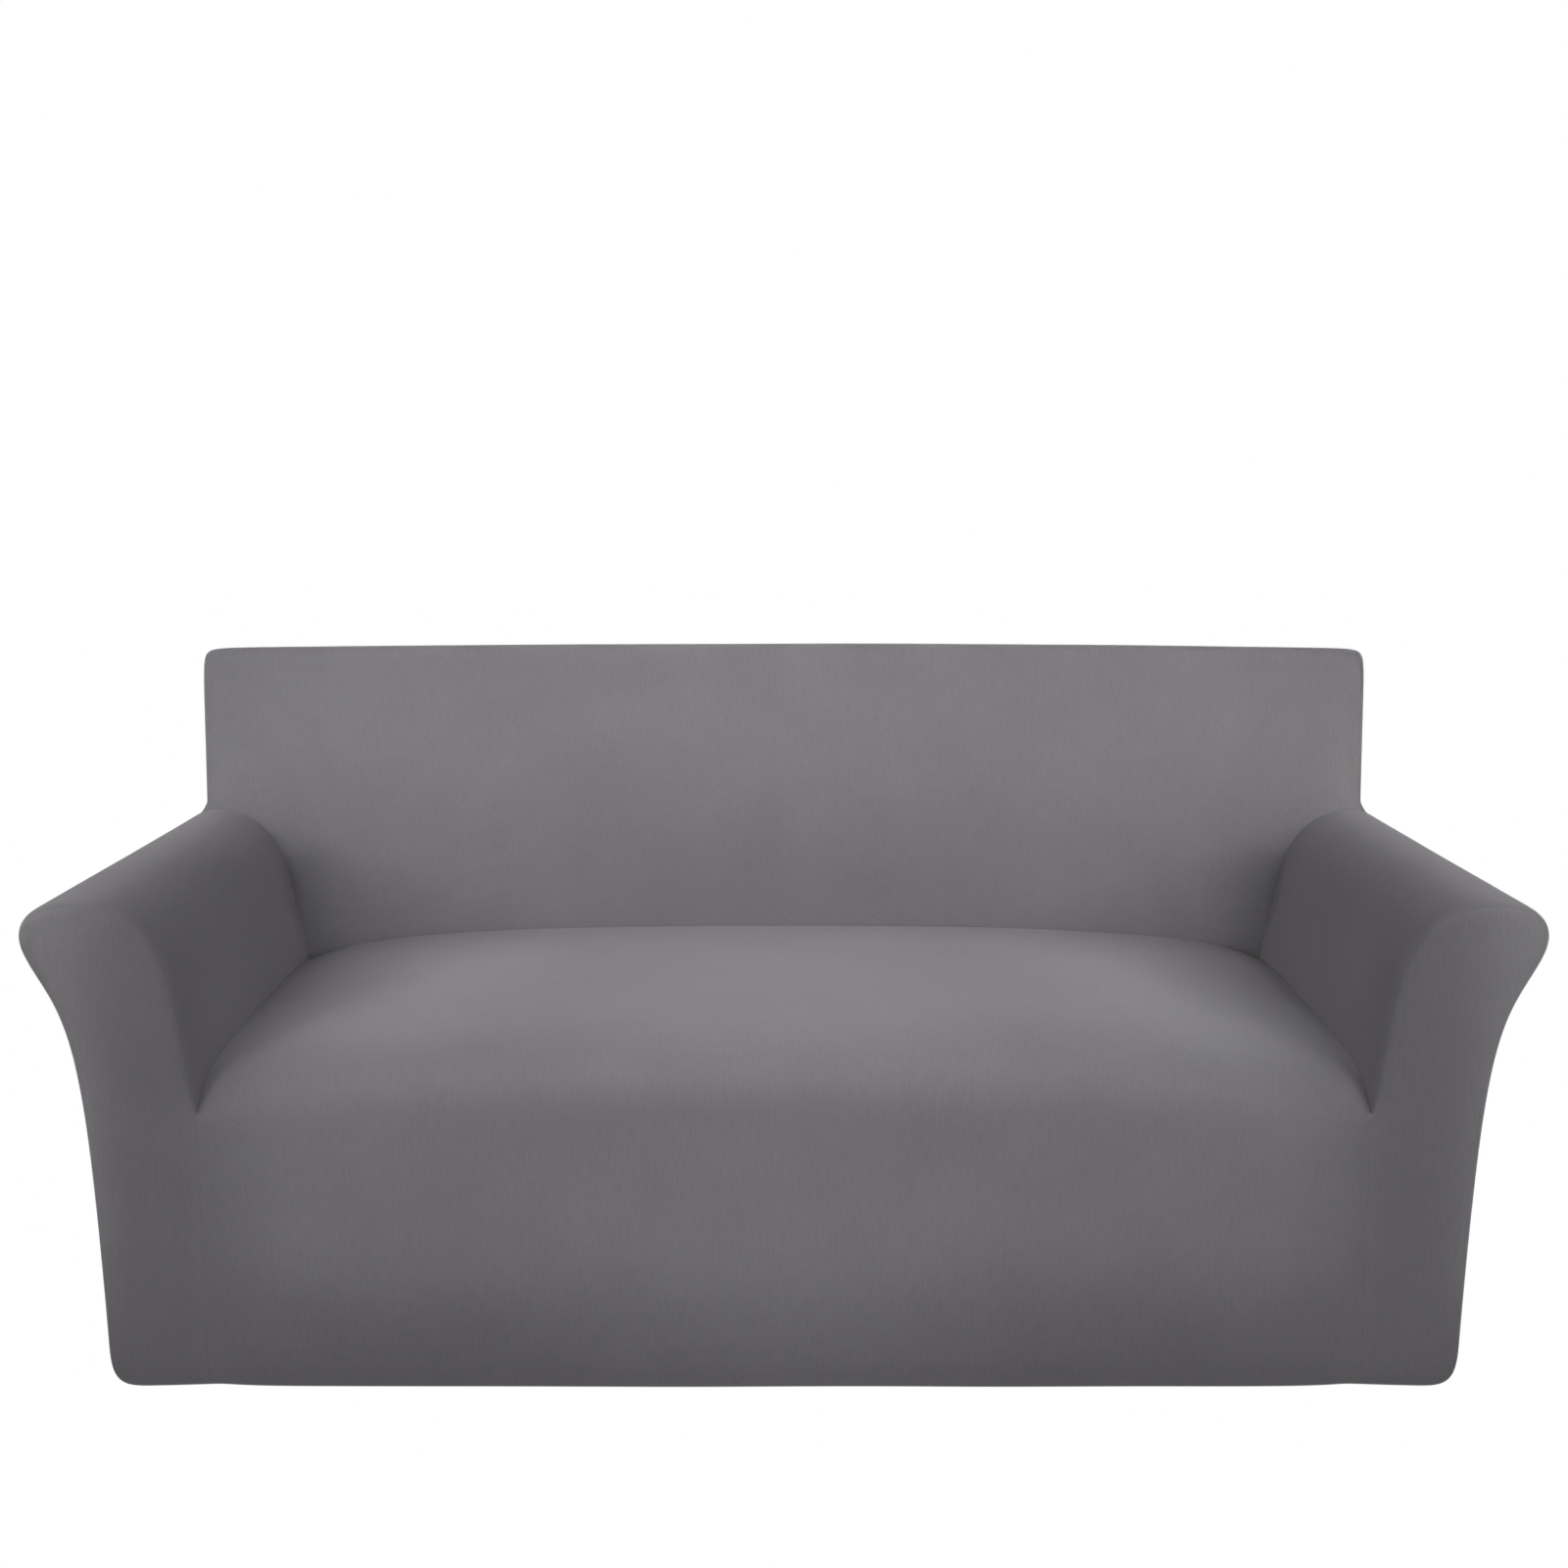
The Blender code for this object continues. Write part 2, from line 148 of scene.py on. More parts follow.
# Rows up the inside back: place along the lower side, then the point on the back's end face as half
# width, place and height, then the height up the inside back, which BACK_LOW gives for the first
BACK_ROWS = {
    "back_low": dict(side_y=0.724, end=(0.9725, 0.727, 0.670)),
    "back_high": dict(side_y=0.765, end=(BACK_HALF_WIDTH, 0.774, 0.850), height=0.924),
    "top_front": dict(side_y=0.795, end=(BACK_HALF_WIDTH, 0.778, 0.914), height=BACK_TOP),
}

# Rows over the top to the rear: the same two, then the place on the top
TOP_FAR_Y = REAR_Y - EDGE_ROUND
TOP_ROWS = {
    "top_near": dict(side_y=0.835, end=(BACK_HALF_WIDTH, 0.812, 0.914), y=BACK_TOP_Y + EDGE_ROUND),
    "top_far": dict(side_y=TOP_FAR_Y, end=(BACK_HALF_WIDTH, TOP_FAR_Y, 0.901), y=TOP_FAR_Y),
    "rear": dict(side_y=REAR_Y, end=(BACK_HALF_WIDTH, REAR_Y, 0.899), y=REAR_Y),
}

# Half widths of the lower side behind the arm, and of the columns on the inside back
REAR_SIDE = (0.9175, 0.920, 0.9235, 0.929, 0.942, 0.960)
BACK_COLUMNS = (BACK_HALF_WIDTH, 0.948, 0.875, 0.790, 0.720, 0.640, 0.450, 0.230, 0.0)

# Rows of the front's lower part, each with its place on the skirt, in the valley beside it and on
# the arm's front
LOW_ROWS = {
    "foot": dict(skirt=-0.009, valley=0.000, arm=-0.007),
    "side_low": dict(skirt=-0.010, valley=0.009, arm=-0.005),
    "side_knee": dict(skirt=-0.013, valley=0.017, arm=0.000),
    "side_mid": dict(skirt=-SKIRT_PROUD, valley=0.020, arm=0.000),
}

# The panels, in the order of the numbers that the form's faces are marked with
PANELS = (
    "seat_front",
    "inside_back",
    "outside_back",
    "arm_left",
    "arm_right",
    "arm_front_left",
    "arm_front_right",
)


def at(half_width, y, height):
    """A point of the left half, with y counted from the arm fronts."""
    return Vector((-half_width, y + SKIRT_PROUD - FORM_DEPTH / 2, height))


def mirrored(point):
    """The same point of the right half."""
    return Vector((-point.x, point.y, point.z))


def back_face(half_width, height):
    """A point on the leaning inside back."""
    share = (height - SECTION["seat_in"][1]) / (BACK_TOP - SECTION["seat_in"][1])
    return at(half_width, BACK_FOOT_Y + share * (BACK_TOP_Y - BACK_FOOT_Y), height)


def body_point(row, column):
    """A cage point over the arms and the seat."""
    sizes = BODY_ROWS[row]
    half_width, height = SECTION[NAMES[column]]
    half_width += sizes.get("narrow", 0.0) * ARM_NARROWS.get(NAMES[column], 0.0)
    if column == CREASE:
        height -= sizes["crease_drop"]
    if column > CREASE:
        height -= sizes["seat_drop"]
    if row == "foot_of_back" and column >= EDGE:
        return back_face(half_width, height)
    if row == "front" and NAMES[column] in LOW_ROWS:
        return at(half_width, LOW_ROWS[NAMES[column]]["arm"], height)
    if column > CREASE:
        return at(half_width, sizes["seat_y"], height)
    turn = sizes.get("turn", 0.0) * INNER_TURN.get(NAMES[column], 0.0)
    return at(half_width, sizes["y"] + turn, height)


def back_point(row, column):
    """A cage point of the back: its lower side, its end face, its inside or its top."""
    sizes = BACK_ROWS.get(row) or TOP_ROWS[row]
    if column < TIP:
        return at(REAR_SIDE[column], sizes["side_y"], SECTION[NAMES[column]][1])
    if column == TIP:
        return at(*sizes["end"])
    half_width = BACK_COLUMNS[column - EDGE]
    arch = BACK_TOP_ARCH * (1 - (half_width / BACK_HALF_WIDTH) ** 2)
    if column == EDGE and row in ("top_front", *TOP_ROWS):
        half_width -= CORNER_CUT
        arch -= CORNER_CUT
    if row in TOP_ROWS:
        fall = BACK_TOP_FALL * (sizes["y"] - BACK_TOP_Y) / (REAR_Y - BACK_TOP_Y)
        return at(half_width, sizes["y"], BACK_TOP + arch - fall)
    if row == "back_low":
        return back_face(*BACK_LOW[NAMES[column]])
    lift = arch if row == "top_front" else 0.0
    return back_face(half_width, sizes["height"]) + Vector((0.0, 0.0, lift))


def over_grid():
    """Rows of cage points from front to rear, each from the foot of the left side to the middle."""
    body = [[body_point(row, column) for column in range(len(NAMES))] for row in BODY_ROWS]
    back_rows = list(BACK_ROWS) + list(TOP_ROWS)
    back = [[back_point(row, column) for column in range(len(NAMES))] for row in back_rows]
    return body + back


def valley_point(name):
    """A point of the valley between the arm's front and the skirt."""
    return at(SECTION["crease"][0], LOW_ROWS[name]["valley"], SECTION[name][1])


def arm_front_grids():
    """The rim round the arm's front and the field inside it."""
    outer = [body_point("front", column) for column in range(TIP + 1)]
    valley = [valley_point(name) for name in LOW_ROWS]
    inner = valley + [body_point("front", column) for column in (CREASE, CREASE - 1, CREASE - 2)]
    top = [body_point("front", EDGE), body_point("front", EDGE + 1)]
    spine = [Vector(((a.x + b.x) / 2, a.y, (a.z + b.z) / 2)) for a, b in zip(outer, inner)]
    field_outer = [point.lerp(middle, ARM_FRONT_INSET) for point, middle in zip(outer, spine)]
    field_inner = [point.lerp(middle, ARM_FRONT_INSET) for point, middle in zip(inner, spine)]
    field_top = [point.lerp(spine[-1], ARM_FRONT_INSET) for point in top]
    rim = [outer + top + inner[::-1], field_outer + field_top + field_inner[::-1]]
    crown = [[field_outer[-1], field_top[0]], [field_inner[-1], field_top[1]]]
    return [rim, [field_outer, field_inner], crown]


def skirt_grid():
    """The front skirt from its foot up to the seat's front edge, from the valley to the middle."""
    rows = []
    for name, sizes in LOW_ROWS.items():
        height = SECTION[name][1]
        across = [at(SECTION[n][0], sizes["skirt"], height) for n in NAMES[CREASE + 1 :]]
        rows.append([valley_point(name)] + across)
    rows.append([body_point("front", column) for column in range(CREASE, len(NAMES))])
    return rows


def rear_grids():
    """The rim round the rear and the field inside it, from the left side to the middle."""
    outline = [back_point("rear", column) for column in range(len(NAMES))]
    inset = []
    for column, point in enumerate(outline):
        aside = EDGE_ROUND if column <= EDGE else 0.0
        below = EDGE_ROUND if column >= EDGE else 0.0
        inset.append(point + Vector((aside, 0.0, -below)))
    top = inset[EDGE:]
    shares = [abs(point.x / top[0].x) for point in top]
    field = [top]
    for left in inset[TIP::-1]:
        field.append([Vector((left.x * share, left.y, left.z)) for share in shares])
    return [[outline, inset], field]


def foot_lines():
    """The foot of the left half: each panel's stretch of it, from the front's middle to the rear's."""
    outline, inset = arm_front_grids()[0]
    rear_rim, rear_field = rear_grids()
    return {
        "seat_front": skirt_grid()[0][::-1],
        "arm_front": [outline[-1], inset[-1], inset[0], outline[0]],
        "arm": [row[0] for row in over_grid()],
        "outside_back": [rear_rim[0][0]] + rear_field[-1],
    }


def turned_under(loop):
    """The foot drawn in under the cover, the last row of the cage."""
    across = 1 - TURN_ACROSS / SECTION["foot"][0]
    along = 1 - 2 * TURN_ALONG / FORM_DEPTH
    return [Vector((p.x * across, p.y * along, TURN_LIFT)) for p in loop]


def key(point):
    """A point's place to a hundredth of a millimetre, to find it again by."""
    return tuple(round(value, 5) + 0.0 for value in point)


def lengths_along(points):
    """How far along a line of points each one lies."""
    total = [0.0]
    for near, far in zip(points, points[1:]):
        total.append(total[-1] + (far - near).length)
    return total


# Panels whose knit runs straight up and down, and those where it runs round the section
UPRIGHT_KNIT = ("outside_back", "arm_front")
TURNED_KNIT = ("arm",)

# Points of two grids that lie this close are one point
MERGE_WITHIN = 1e-5


class Cage:
    """Quads of the form's cage, each marked with its panel, with the knit's own two directions."""

    def __init__(self):
        self.bm = bmesh.new()
        self.knit = self.bm.loops.layers.uv.new("knit")
        self.folds = {}

    def add(self, rows, panel):
        """A grid of quads and its mirror image. A panel with a left and a right gets one each."""
        across = [lengths_along(row) for row in rows]
        down = [lengths_along(column) for column in zip(*rows)]
        for side, end in ((1, "_left"), (-1, "_right")):
            name = panel if panel in PANELS else panel + end
            points = rows if side == 1 else [[mirrored(p) for p in row] for row in rows]
            grid = [[self.bm.verts.new(p) for p in row] for row in points]
            for i in range(len(grid) - 1):
                for j in range(len(grid[0]) - 1):
                    corners = ((i, j), (i, j + 1), (i + 1, j + 1), (i + 1, j))
                    face = self.bm.faces.new([grid[a][b] for a, b in corners])
                    face.material_index = PANELS.index(name)
                    for loop, (a, b) in zip(face.loops, corners):
                        thread = (side * across[a][b], down[b][a])
                        if panel in TURNED_KNIT:
                            thread = thread[::-1]
                        if panel in UPRIGHT_KNIT:
                            thread = (loop.vert.co.x, loop.vert.co.z)
                        loop[self.knit].uv = thread

    def fold(self, line, sharpness):
        """Keeps a line of the cage and its mirror image sharper than the rest."""
        for points in (line, [mirrored(p) for p in line]):
            for first, second in zip(points, points[1:]):
                self.folds[frozenset((key(first), key(second)))] = sharpness

    def mesh(self):
        """The grids merged into one mesh, with the folds' sharpness on its edges."""
        bmesh.ops.remove_doubles(self.bm, verts=self.bm.verts, dist=MERGE_WITHIN)
        bmesh.ops.recalc_face_normals(self.bm, faces=self.bm.faces)
        sharpness = self.bm.edges.layers.float.new("crease_edge")
        for edge in self.bm.edges:
            ends = frozenset(key(v.co) for v in edge.verts)
            edge[sharpness] = self.folds.get(ends, 0.0)
        mesh = bpy.data.meshes.new("form_cage")
        self.bm.to_mesh(mesh)
        self.bm.free()
        return mesh


def form_cage():
    """The whole cage: arms, seat, back, arm fronts, skirt, rear and the turned-under foot."""
    cage = Cage()
    over = over_grid()
    body = over[: len(BODY_ROWS)]
    back = over[len(BODY_ROWS) - 1 :]
    cage.add([row[: CREASE + 1] for row in body], "arm")
    cage.add([row[CREASE:] for row in body], "seat_front")
    cage.add([row[: EDGE + 1] for row in back], "arm")
    cage.add([row[EDGE:] for row in back], "inside_back")
    for grid in arm_front_grids():
        cage.add(grid, "arm_front")
    cage.add(skirt_grid(), "seat_front")
    for grid in rear_grids():
        cage.add(grid, "outside_back")
    for panel, line in foot_lines().items():
        cage.add([line, turned_under(line)], panel)
    cage.fold([row[CREASE] for row in body], CREASE_SHARP)
    cage.fold(body[-1][TIP - 1 :], CREASE_SHARP)
    cage.fold([back_point("back_low", column) for column in (TIP - 1, TIP, EDGE)], CORNER_SHARP)
    cage.fold([row[0] for row in skirt_grid()], VALLEY_SHARP)
    return cage.mesh()


def put_in_scene(name, data):
    """A new object, unmoved and unturned, with this mesh, light or camera."""
    made = bpy.data.objects.new(name, data)
    bpy.context.scene.collection.objects.link(made)
    return made


def smooth_form():
    """The cage subdivided onto its smooth surface."""
    form = put_in_scene("form", form_cage())
    smooth = form.modifiers.new("Subdivision", "SUBSURF")
    smooth.levels = FORM_LEVEL
    smooth.render_levels = FORM_LEVEL
    bpy.context.view_layer.update()
    evaluated = form.evaluated_get(bpy.context.evaluated_depsgraph_get())
    skin = bpy.data.meshes.new_from_object(evaluated)
    cage = form.data
    bpy.data.objects.remove(form, do_unlink=True)
    bpy.data.meshes.remove(cage)
    bm = bmesh.new()
    bm.from_mesh(skin)
    bpy.data.meshes.remove(skin)
    return bm


skin = smooth_form()

# Soft folds of the pulled cloth. Where the real knit is drawn over a corner or round an arm it
# leaves a few shallow folds, and between them its surface is never quite even. Each fold is one
# line on the left half, drawn again on the right.

# The unevenness of the surface between the folds
SWELL_HEIGHT = 0.0007
SWELL_SIZE = 0.26

# A fold fades out along half a wave, of which this share is missing at each end, and at this many
# times its width it is too low to count
FOLD_END = 0.08
FOLD_FAR = 3.0

# From and to in half width, place and height, then how wide the fold is and how high it stands
FOLDS = (
    ((0.950, 0.748, 0.914), (0.700, 0.746, 0.906), 0.012, -0.0019),
    ((0.940, 0.742, 0.880), (0.943, 0.730, 0.790), 0.010, 0.0014),
    ((0.880, 0.745, 0.860), (0.640, 0.740, 0.850), 0.030, -0.0016),
    ((0.900, 0.745, 0.800), (0.640, 0.738, 0.790), 0.026, 0.0012),
    ((0.815, 0.705, 0.610), (0.785, 0.695, 0.470), 0.070, -0.0150),
)


def fold_height(place):
    """How far the cloth stands out from the form at a place."""
    height = SWELL_HEIGHT * noise.noise(place / SWELL_SIZE)
    left = Vector((-abs(place.x), place.y, place.z))
    for start, end, width, rise in FOLDS:
        first, last = at(*start), at(*end)
        span = last - first
        share = min(max((left - first).dot(span) / span.length_squared, 0.0), 1.0)
        away = (left - first - span * share).length / width
        if away < FOLD_FAR:
            wave = FOLD_END + (1 - 2 * FOLD_END) * share
            height += rise * math.sin(math.pi * wave) * math.exp(-away * away)
    return height


skin.normal_update()
for vert, normal in [(vert, vert.normal.copy()) for vert in skin.verts]:
    vert.co += normal * fold_height(vert.co)

# The turned-under hem. The real one is the panels' own cloth, folded in below the sofa and doubled
# round an elastic 23 mm wide. The elastic draws it into puckers every 8 to 15 mm, and from some of
# them longer folds run out towards the skirt and fade.

# What the finer form is moved by, to lie where the coarser solids do
SETTLED = Vector((0.0, -0.00025, -0.0016))

# The rows of the form's foot that the hem takes the place of, and the step from point to point
# along the hem
HEM_PEEL = 11
HEM_STEP = 0.0034

# How far in from where the form ends the hem's edge lies, across and along the sofa, the height
# that the hem eases to, the share of its width that this takes, and the lowest that it may lie
HEM_IN_ACROSS = 0.119
HEM_IN_ALONG = 0.089
HEM_BASE = 0.0065
HEM_EASE = 0.25
HEM_LEAST = 0.0008

# The casing's width, and the rows of points outside it and across it, as shares of the way
CASING = 0.023
OUTER_SHARES = (0.09, 0.20, 0.31, 0.43, 0.55, 0.67, 0.78, 0.87, 0.95)
CASING_SHARES = (0.0, 0.05, 0.12, 0.24, 0.38, 0.52, 0.66, 0.80, 0.90, 0.97, 1.0)

# The puckers: how far apart they are, how deep and how wide, how much they slant across the casing
# and drift outside it, and how far along the hem each one is worked out
PUCKER_SEED = 11
PUCKER_GAP = (0.0085, 0.0150)
PUCKER_DEPTH = 0.0019
PUCKER_DEPTHS = (0.45, 1.1)
PUCKER_WIDTH = 0.0019
PUCKER_SLANT = 0.35
PUCKER_DRIFT = 0.30
PUCKER_FAR = 0.07

# How far the casing puffs out between its edges, and the dip along its stitches
PUFF_HEIGHT = 0.0015
STITCH_DIP = 0.0010
STITCH_DIP_WIDTH = 0.002

# Every third pucker and a few others run out as long folds. Then how far the folds reach out, and
# how much wider they grow on their way
LONG_FOLD_EVERY = 3
LONG_FOLD_CHANCE = 0.12
LONG_FOLD_DEPTH = 0.0042
LONG_FOLD_DEPTHS = (0.5, 1.0)
LONG_FOLD_REACH = (0.030, 0.060)
LONG_FOLD_SPREAD = (0.14, 0.22)
SHORT_FOLD_REACH = (0.006, 0.016)
SHORT_FOLD_SPREAD = (0.06, 0.12)

# How far each pucker draws the hem's edge in, and how close to the edge it does so
SCALLOP = 0.0012
SCALLOP_POWER = 6

# The cloth's thickness, single and doubled, by what share of the casing it is doubled, and from
# where and over how long its edge is rounded off
SINGLE_CLOTH = 0.0012
DOUBLED_CLOTH = 0.0034
DOUBLED_BY = 0.15
ROUNDED_FROM = 0.88
ROUNDED_OVER = 0.125

# How much longer the cloth is than the elastic that gathers it
GATHER_FULLNESS = 1.25


def free_edges(bm):
    """The edges with cloth on one side only, all of them round the foot."""
    return [edge for edge in bm.edges if edge.is_boundary]


def free_loop(bm):
    """The free edge's points in order round the cover."""
    free = free_edges(bm)
    start = min(free, key=lambda edge: (round(edge.verts[0].co.y, 4), edge.verts[0].co.x))
    around = [start.verts[0]]
    edge = start
    while True:
        ahead = edge.other_vert(around[-1])
        if ahead == around[0]:
            return around
        around.append(ahead)
        edge = next(e for e in ahead.link_edges if e.is_boundary and e != edge)


def split_free_side(bm, face, free, knit):
    """Parts a face with many points on its free side into triangles that all reach its far side."""
    verts = list(face.verts)
    threads = {loop.vert: loop[knit].uv.copy() for loop in face.loops}
    start = next(i for i, vert in enumerate(verts) if not {vert, verts[i - 1]} & free)
    near, far, *points = verts[start - 1 :] + verts[: start - 1]
    half = len(points) // 2
    corners = [(far, points[i], points[i + 1]) for i in range(half)]
    corners.append((near, far, points[half]))
    corners += [(near, points[i], points[i + 1]) for i in range(half, len(points) - 1)]
    for triangle in corners:
        made = bm.faces.new(triangle)
        made.material_index = face.material_index
        made.smooth = True
        for loop in made.loops:
            loop[knit].uv = threads[loop.vert]
    bm.faces.remove(face)


def puckers(length):
    """Where the elastic draws the cloth in, round a hem of this length, and what each pucker does."""
    draw = np.random.default_rng(PUCKER_SEED)
    places = [0.0]
    while places[-1] < length - PUCKER_GAP[1]:
        places.append(places[-1] + draw.uniform(*PUCKER_GAP))
    rows = []
    for number, place in enumerate(places[1:]):
        long = number % LONG_FOLD_EVERY == 0 or draw.random() < LONG_FOLD_CHANCE
        rows.append(
            dict(
                place=place,
                depth=PUCKER_DEPTH * draw.uniform(*PUCKER_DEPTHS),
                slant=draw.uniform(-PUCKER_SLANT, PUCKER_SLANT),
                drift=draw.uniform(-PUCKER_DRIFT, PUCKER_DRIFT),
                reach=draw.uniform(*(LONG_FOLD_REACH if long else SHORT_FOLD_REACH)),
                rise=LONG_FOLD_DEPTH * draw.uniform(*LONG_FOLD_DEPTHS) if long else PUCKER_DEPTH,
                spread=draw.uniform(*(LONG_FOLD_SPREAD if long else SHORT_FOLD_SPREAD)),
            )
        )
    return rows


def gathered_rise(around, outside, within):
    """How far the gathered cloth rises into the cover.

    around is each point's distance round the hem. outside, the distance outside the stitching, and
    within, the share of the way from the stitching to the hem's edge, have a row for each row of
    points.
    """
    length = around[-1]
    rise = np.zeros(outside.shape)
    for pucker in puckers(length):
        nearby = np.abs((around - pucker["place"] + length / 2) % length - length / 2) < PUCKER_FAR
        out, into = outside[:, nearby], within[:, nearby]
        middle = pucker["place"] + out * pucker["drift"] - into * CASING * pucker["slant"]
        width = PUCKER_WIDTH + out * pucker["spread"]
        depth = pucker["rise"] * np.exp(-out / pucker["reach"])
        depth = np.where(into > 0, pucker["depth"], depth)
        away = (around[None, nearby] - middle + length / 2) % length - length / 2
        rise[:, nearby] += depth * np.exp(-((away / width) ** 2))
    return rise


def hem_rows(outer):
    """Rows of points from the skin's free edge in to the hem's edge, and each one's cloth thickness."""
    start = np.array([vert.co for vert in outer])
    foot = np.array((SECTION["foot"][0], FORM_DEPTH / 2))
    drawn_in = (foot - (HEM_IN_ACROSS, HEM_IN_ALONG)) / foot
    end = start[:, :2] * drawn_in
    steps = np.linalg.norm(start - np.roll(start, 1, axis=0), axis=1)
    around = np.cumsum(steps)
    width = np.linalg.norm(end - start[:, :2], axis=1)

    # The rows, as shares of the way from the free edge to the hem's edge
    stitched = 1 - CASING / width
    outer_shares = np.array(OUTER_SHARES)[:, None] * stitched
    within = np.array((0.0,) * len(OUTER_SHARES) + CASING_SHARES)[:, None] + 0 * width
    casing_shares = stitched + (1 - stitched) * np.array(CASING_SHARES)[:, None]
    shares = np.vstack((outer_shares, casing_shares))
    outside = np.maximum(stitched - shares, 0) * width

    # Their height, eased down to the hem's own, gathered, puffed out and dipped at the stitches
    rise = gathered_rise(around, outside, within)
    fade = np.clip(shares / HEM_EASE, 0, 1)
    height = start[:, 2] + (HEM_BASE - start[:, 2]) * fade**2 * (3 - 2 * fade) + rise * fade
    puff = np.sqrt(np.clip(4 * within * (1 - within), 0, 1))
    from_stitches = (outside + within * CASING) / STITCH_DIP_WIDTH
    height += STITCH_DIP * np.exp(-(from_stitches**2)) - PUFF_HEIGHT * puff

    # The cloth's thickness, doubled over the casing and rounded off at its edge
    doubled = np.clip(within / DOUBLED_BY, 0, 1) ** 0.5
    thick = SINGLE_CLOTH + (DOUBLED_CLOTH - SINGLE_CLOTH) * doubled
    rounded = np.sqrt(1 - np.clip((within - ROUNDED_FROM) / ROUNDED_OVER, 0, 1) ** 2)
    height += thick * (1 - rounded) / 2
    thick *= rounded

    # Their places, with the hem's edge drawn in at each pucker
    near_edge = np.where(within > 0, within, 0) ** SCALLOP_POWER
    pulled = 1 - near_edge * rise / PUCKER_DEPTH * SCALLOP / width
    places = np.empty(shares.shape + (3,))
    places[..., :2] = start[:, :2] + (end - start[:, :2]) * (shares * pulled)[..., None]
    places[..., 2] = np.maximum(height, HEM_LEAST)
    return places, thick, around, width * shares


def opened_foot(bm, knit):
    """Takes the last rows off the form's foot, and returns its free edge in the hem's fine steps."""
    for _ in range(HEM_PEEL):
        ring = {face for edge in free_edges(bm) for face in edge.link_faces}
        bmesh.ops.delete(bm, geom=list(ring), context="FACES")
    by_cuts = {}
    for edge in free_edges(bm):
        by_cuts.setdefault(round(edge.calc_length() / HEM_STEP) - 1, []).append(edge)
    for cuts in sorted(by_cuts):
        if cuts > 0:
            bmesh.ops.subdivide_edges(bm, edges=by_cuts[cuts], cuts=cuts)
    outer = free_loop(bm)
    for face in [face for face in bm.faces if len(face.verts) > 4]:
        split_free_side(bm, face, set(outer), knit)
    return outer


def add_hem(bm):
    """Replaces the last of the turned-under form by the finely gathered hem.

    Returns the line that it is stitched along, each point's distance round it, and its panel.
    """
    knit = bm.loops.layers.uv["knit"]
    cloth = bm.verts.layers.float.new("cloth")
    for vert in bm.verts:
        vert[cloth] = SINGLE_CLOTH
    outer = opened_foot(bm, knit)
    places, thick, around, across = hem_rows(outer)
    panels = []
    for i in range(len(outer)):
        edge = bm.edges.get((outer[i - 1], outer[i]))
        panels.append(edge.link_faces[0].material_index)
    before = np.zeros(len(outer))
    for row in range(len(places)):
        inner = []
        for place, depth in zip(places[row], thick[row]):
            vert = bm.verts.new(place)
            vert[cloth] = depth
            inner.append(vert)
        for i in range(len(outer)):
            face = bm.faces.new((outer[i - 1], outer[i], inner[i], inner[i - 1]))
            face.material_index = panels[i]
            face.smooth = True
            near = around[i - 1] if i else 0.0
            far = (near, around[i], around[i], near)
            down = (before[i - 1], before[i], across[row, i], across[row, i - 1])
            for loop, u, v in zip(face.loops, far, down):
                loop[knit].uv = (u * GATHER_FULLNESS, v)
        outer = inner
        before = across[row]
    bmesh.ops.recalc_face_normals(bm, faces=bm.faces)
    bm.normal_update()
    return places[len(OUTER_SHARES)], around, np.array(panels)


bmesh.ops.translate(skin, verts=skin.verts, vec=SETTLED)
stitch_line, stitch_around, stitch_panel = add_hem(skin)

# The seven panels. Each is one piece of the grey stretch knit, a jersey about 1.2 mm thick, sewn to
# its neighbours along the lines where they meet, and stretched over the sofa's back, arms and seat.

# How much deeper the cloth may be set where it bends sharply, to keep its thickness
FOLD_MOST = 1.4

# The step from point to point along a seam, and how far from a seam its distance is still told
SEAM_STEP = 0.003
SEAM_FAR = 0.05

# How far a panel's own facing may be from the one that it shares with its neighbours before a
# crease shows between them
CREASE_COSINE = math.cos(math.radians(28))

# What is shorter than this has no direction
LEAST_LENGTH = 1e-12


class Skin:
    """The skin's points and faces as arrays, for cutting into panels."""

    def __init__(self, bm):
        bm.verts.index_update()
        cloth = bm.verts.layers.float["cloth"]
        knit = bm.loops.layers.uv["knit"]
        self.points = np.array([vert.co for vert in bm.verts])
        self.normals = np.array([vert.normal for vert in bm.verts])
        folds = np.array([min(vert.calc_shell_factor(), FOLD_MOST) for vert in bm.verts])
        self.depth = np.array([vert[cloth] for vert in bm.verts]) * folds
        self.corners = np.array([self.four([vert.index for vert in face.verts]) for face in bm.faces])
        self.threads = np.array(
            [self.four([tuple(loop[knit].uv) for loop in face.loops]) for face in bm.faces]
        )
        self.panel = np.array([face.material_index for face in bm.faces])
        self.seam_distance = self.distances(bm)

    @staticmethod
    def four(values):
        """A face's corners. One with three repeats its first, so that every face has four."""
        return values if len(values) == 4 else values + values[:1]

    @staticmethod
    def distances(bm):
        """Each point's distance from the nearest seam, up to SEAM_FAR."""
        ends = []
        for edge in bm.edges:
            if len({face.material_index for face in edge.link_faces}) == 2:
                first, second = (vert.co for vert in edge.verts)
                count = max(1, round((second - first).length / SEAM_STEP))
                ends += [first.lerp(second, i / count) for i in range(count + 1)]
        tree = KDTree(len(ends))
        for number, place in enumerate(ends):
            tree.insert(place, number)
        tree.balance()
        return np.array([min(tree.find(vert.co)[2], SEAM_FAR) for vert in bm.verts])


def facings(points, corners):
    """Which way each face points, as a vector that grows with its area."""
    a, b, c, d = (points[corners[:, i]] for i in range(4))
    return np.cross(c - a, d - b)


def to_length_one(vectors):
    """The vectors at length 1. One with no length stays so."""
    return vectors / np.maximum(np.linalg.norm(vectors, axis=1), LEAST_LENGTH)[:, None]


